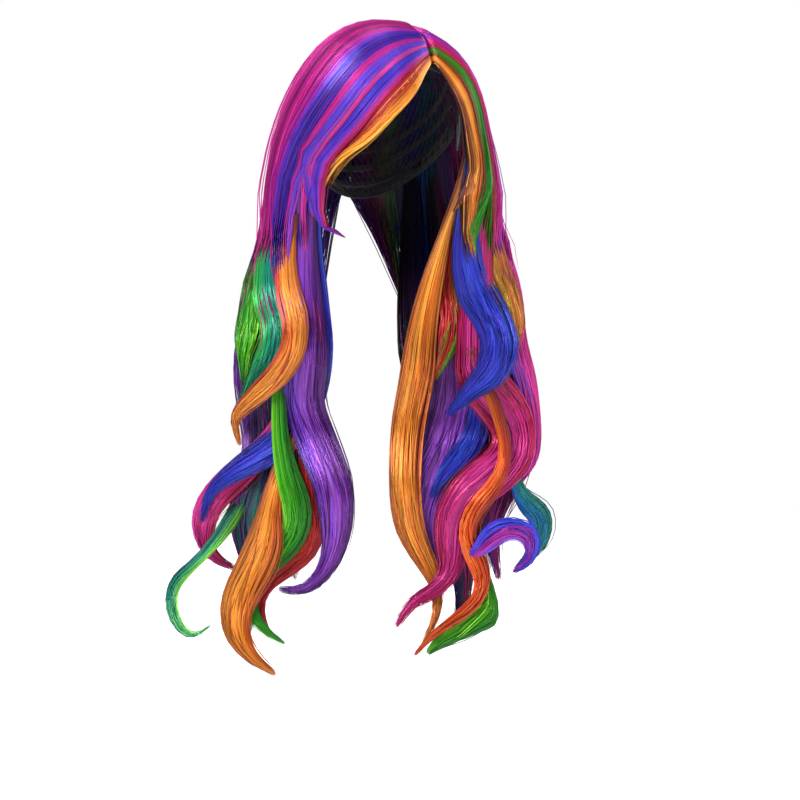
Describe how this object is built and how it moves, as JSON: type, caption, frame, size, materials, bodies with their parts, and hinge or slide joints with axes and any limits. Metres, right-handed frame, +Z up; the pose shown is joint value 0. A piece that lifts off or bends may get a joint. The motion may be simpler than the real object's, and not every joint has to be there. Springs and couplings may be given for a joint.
{
  "type": "costume wig",
  "caption": "Long side-parted costume wig: stretch-net cap with bands, ribbons, wefts, ear tabs and hook straps, a swept fringe, and waved multicoloured tresses drawn over both shoulders",
  "frame": {"origin": "the middle of the wearer's head, at the level where the head is widest", "axes": "+Z is up, the wearer looks along -Y, and +X is the wearer's left"},
  "size_m": [0.376, 0.2329, 0.6892],
  "materials": {
    "net": "fine stretch net",
    "elastic": "woven elastic tape",
    "weft": "machine-sewn hair track",
    "skin_top": "soft scalp-toned film",
    "stay_steel": "thin bendable strip",
    "hook_plastic": "moulded",
    "hair_magenta": "glossy synthetic fibre",
    "hair_pink": "glossy synthetic fibre",
    "hair_violet": "glossy synthetic fibre",
    "hair_purple": "glossy synthetic fibre",
    "hair_indigo": "glossy synthetic fibre",
    "hair_blue": "glossy synthetic fibre",
    "hair_teal": "glossy synthetic fibre",
    "hair_green": "glossy synthetic fibre",
    "hair_orange": "glossy synthetic fibre",
    "hair_red": "glossy synthetic fibre"
  },
  "bodies": {
    "cap": {"cap_net": "net", "front_band": "elastic", "nape_band": "elastic", "centre_ribbon": "elastic", "side_ribbon_right": "elastic", "side_ribbon_left": "elastic", "parting_patch": "skin_top", "weft_row_1": "weft", "weft_row_2": "weft", "weft_row_3": "weft", "loop_tape_left": "elastic", "loop_tape_right": "elastic", "fringe_edge": "hair_orange", "fringe_inner": "hair_magenta", "fringe_middle": "hair_violet", "fringe_outer": "hair_violet", "side_hair_right": "hair_magenta", "back_hair_right_outer": "hair_purple", "back_hair_right_inner": "hair_indigo", "face_hair_left": "hair_orange", "temple_hair_left": "hair_green", "side_hair_left": "hair_magenta", "back_hair_left_outer": "hair_pink", "back_hair_left_inner": "hair_blue"},
    "tress_right": {"lock_right_teal": "hair_teal", "lock_right_lime": "hair_green", "lock_right_orange": "hair_orange", "lock_right_violet": "hair_violet", "lock_right_indigo": "hair_indigo", "lock_right_magenta": "hair_magenta", "lock_right_green": "hair_green", "lock_right_amber": "hair_orange", "lock_right_red": "hair_red", "lock_right_ringlet": "hair_teal", "lock_right_back_outer": "hair_indigo", "lock_right_back_middle": "hair_magenta", "lock_right_back_inner": "hair_purple"},
    "tress_left": {"lock_left_blue": "hair_blue", "lock_left_magenta": "hair_magenta", "lock_left_amber": "hair_orange", "lock_left_rose": "hair_pink", "lock_left_red": "hair_red", "lock_left_orange": "hair_orange", "lock_left_violet": "hair_violet", "lock_left_indigo": "hair_indigo", "lock_left_crimson": "hair_red", "lock_left_teal": "hair_teal", "lock_left_spiral": "hair_blue", "lock_left_green": "hair_green", "lock_left_back_outer": "hair_purple", "lock_left_back_middle": "hair_teal", "lock_left_back_inner": "hair_indigo"},
    "ear_tab_left": {"ear_tab_left": "elastic", "ear_stay_left": "stay_steel"},
    "strap_left": {"strap_left": "elastic", "strap_hook_left": "hook_plastic"},
    "ear_tab_right": {"ear_tab_right": "elastic", "ear_stay_right": "stay_steel"},
    "strap_right": {"strap_right": "elastic", "strap_hook_right": "hook_plastic"}
  },
  "joints": [
    {"name": "tress_right_swing", "type": "hinge", "parent": "cap", "child": "tress_right", "pos_m": [-0.1048, 0.0377, -0.112], "axis": [0.4226, 0.9063, 0], "range_deg": [-2, 12]},
    {"name": "tress_left_swing", "type": "hinge", "parent": "cap", "child": "tress_left", "pos_m": [0.0744, -0.0415, -0.112], "axis": [-0.4226, -0.9063, 0], "range_deg": [-2, 12]},
    {"name": "ear_tab_left_bend", "type": "hinge", "parent": "cap", "child": "ear_tab_left", "pos_m": [0.069, -0.041, 0.011], "axis": [0.332, 0.7755, -0.537], "range_deg": [0, 30]},
    {"name": "strap_left_unhook", "type": "hinge", "parent": "cap", "child": "strap_left", "pos_m": [0.02, 0.07, -0.062], "axis": [-0.1642, -0.5721, -0.8036], "range_deg": [0, 60]},
    {"name": "ear_tab_right_bend", "type": "hinge", "parent": "cap", "child": "ear_tab_right", "pos_m": [-0.069, -0.041, 0.011], "axis": [0.332, -0.7755, 0.537], "range_deg": [0, 30]},
    {"name": "strap_right_unhook", "type": "hinge", "parent": "cap", "child": "strap_right", "pos_m": [-0.02, 0.07, -0.062], "axis": [-0.1642, 0.5721, 0.8036], "range_deg": [0, 60]}
  ]
}
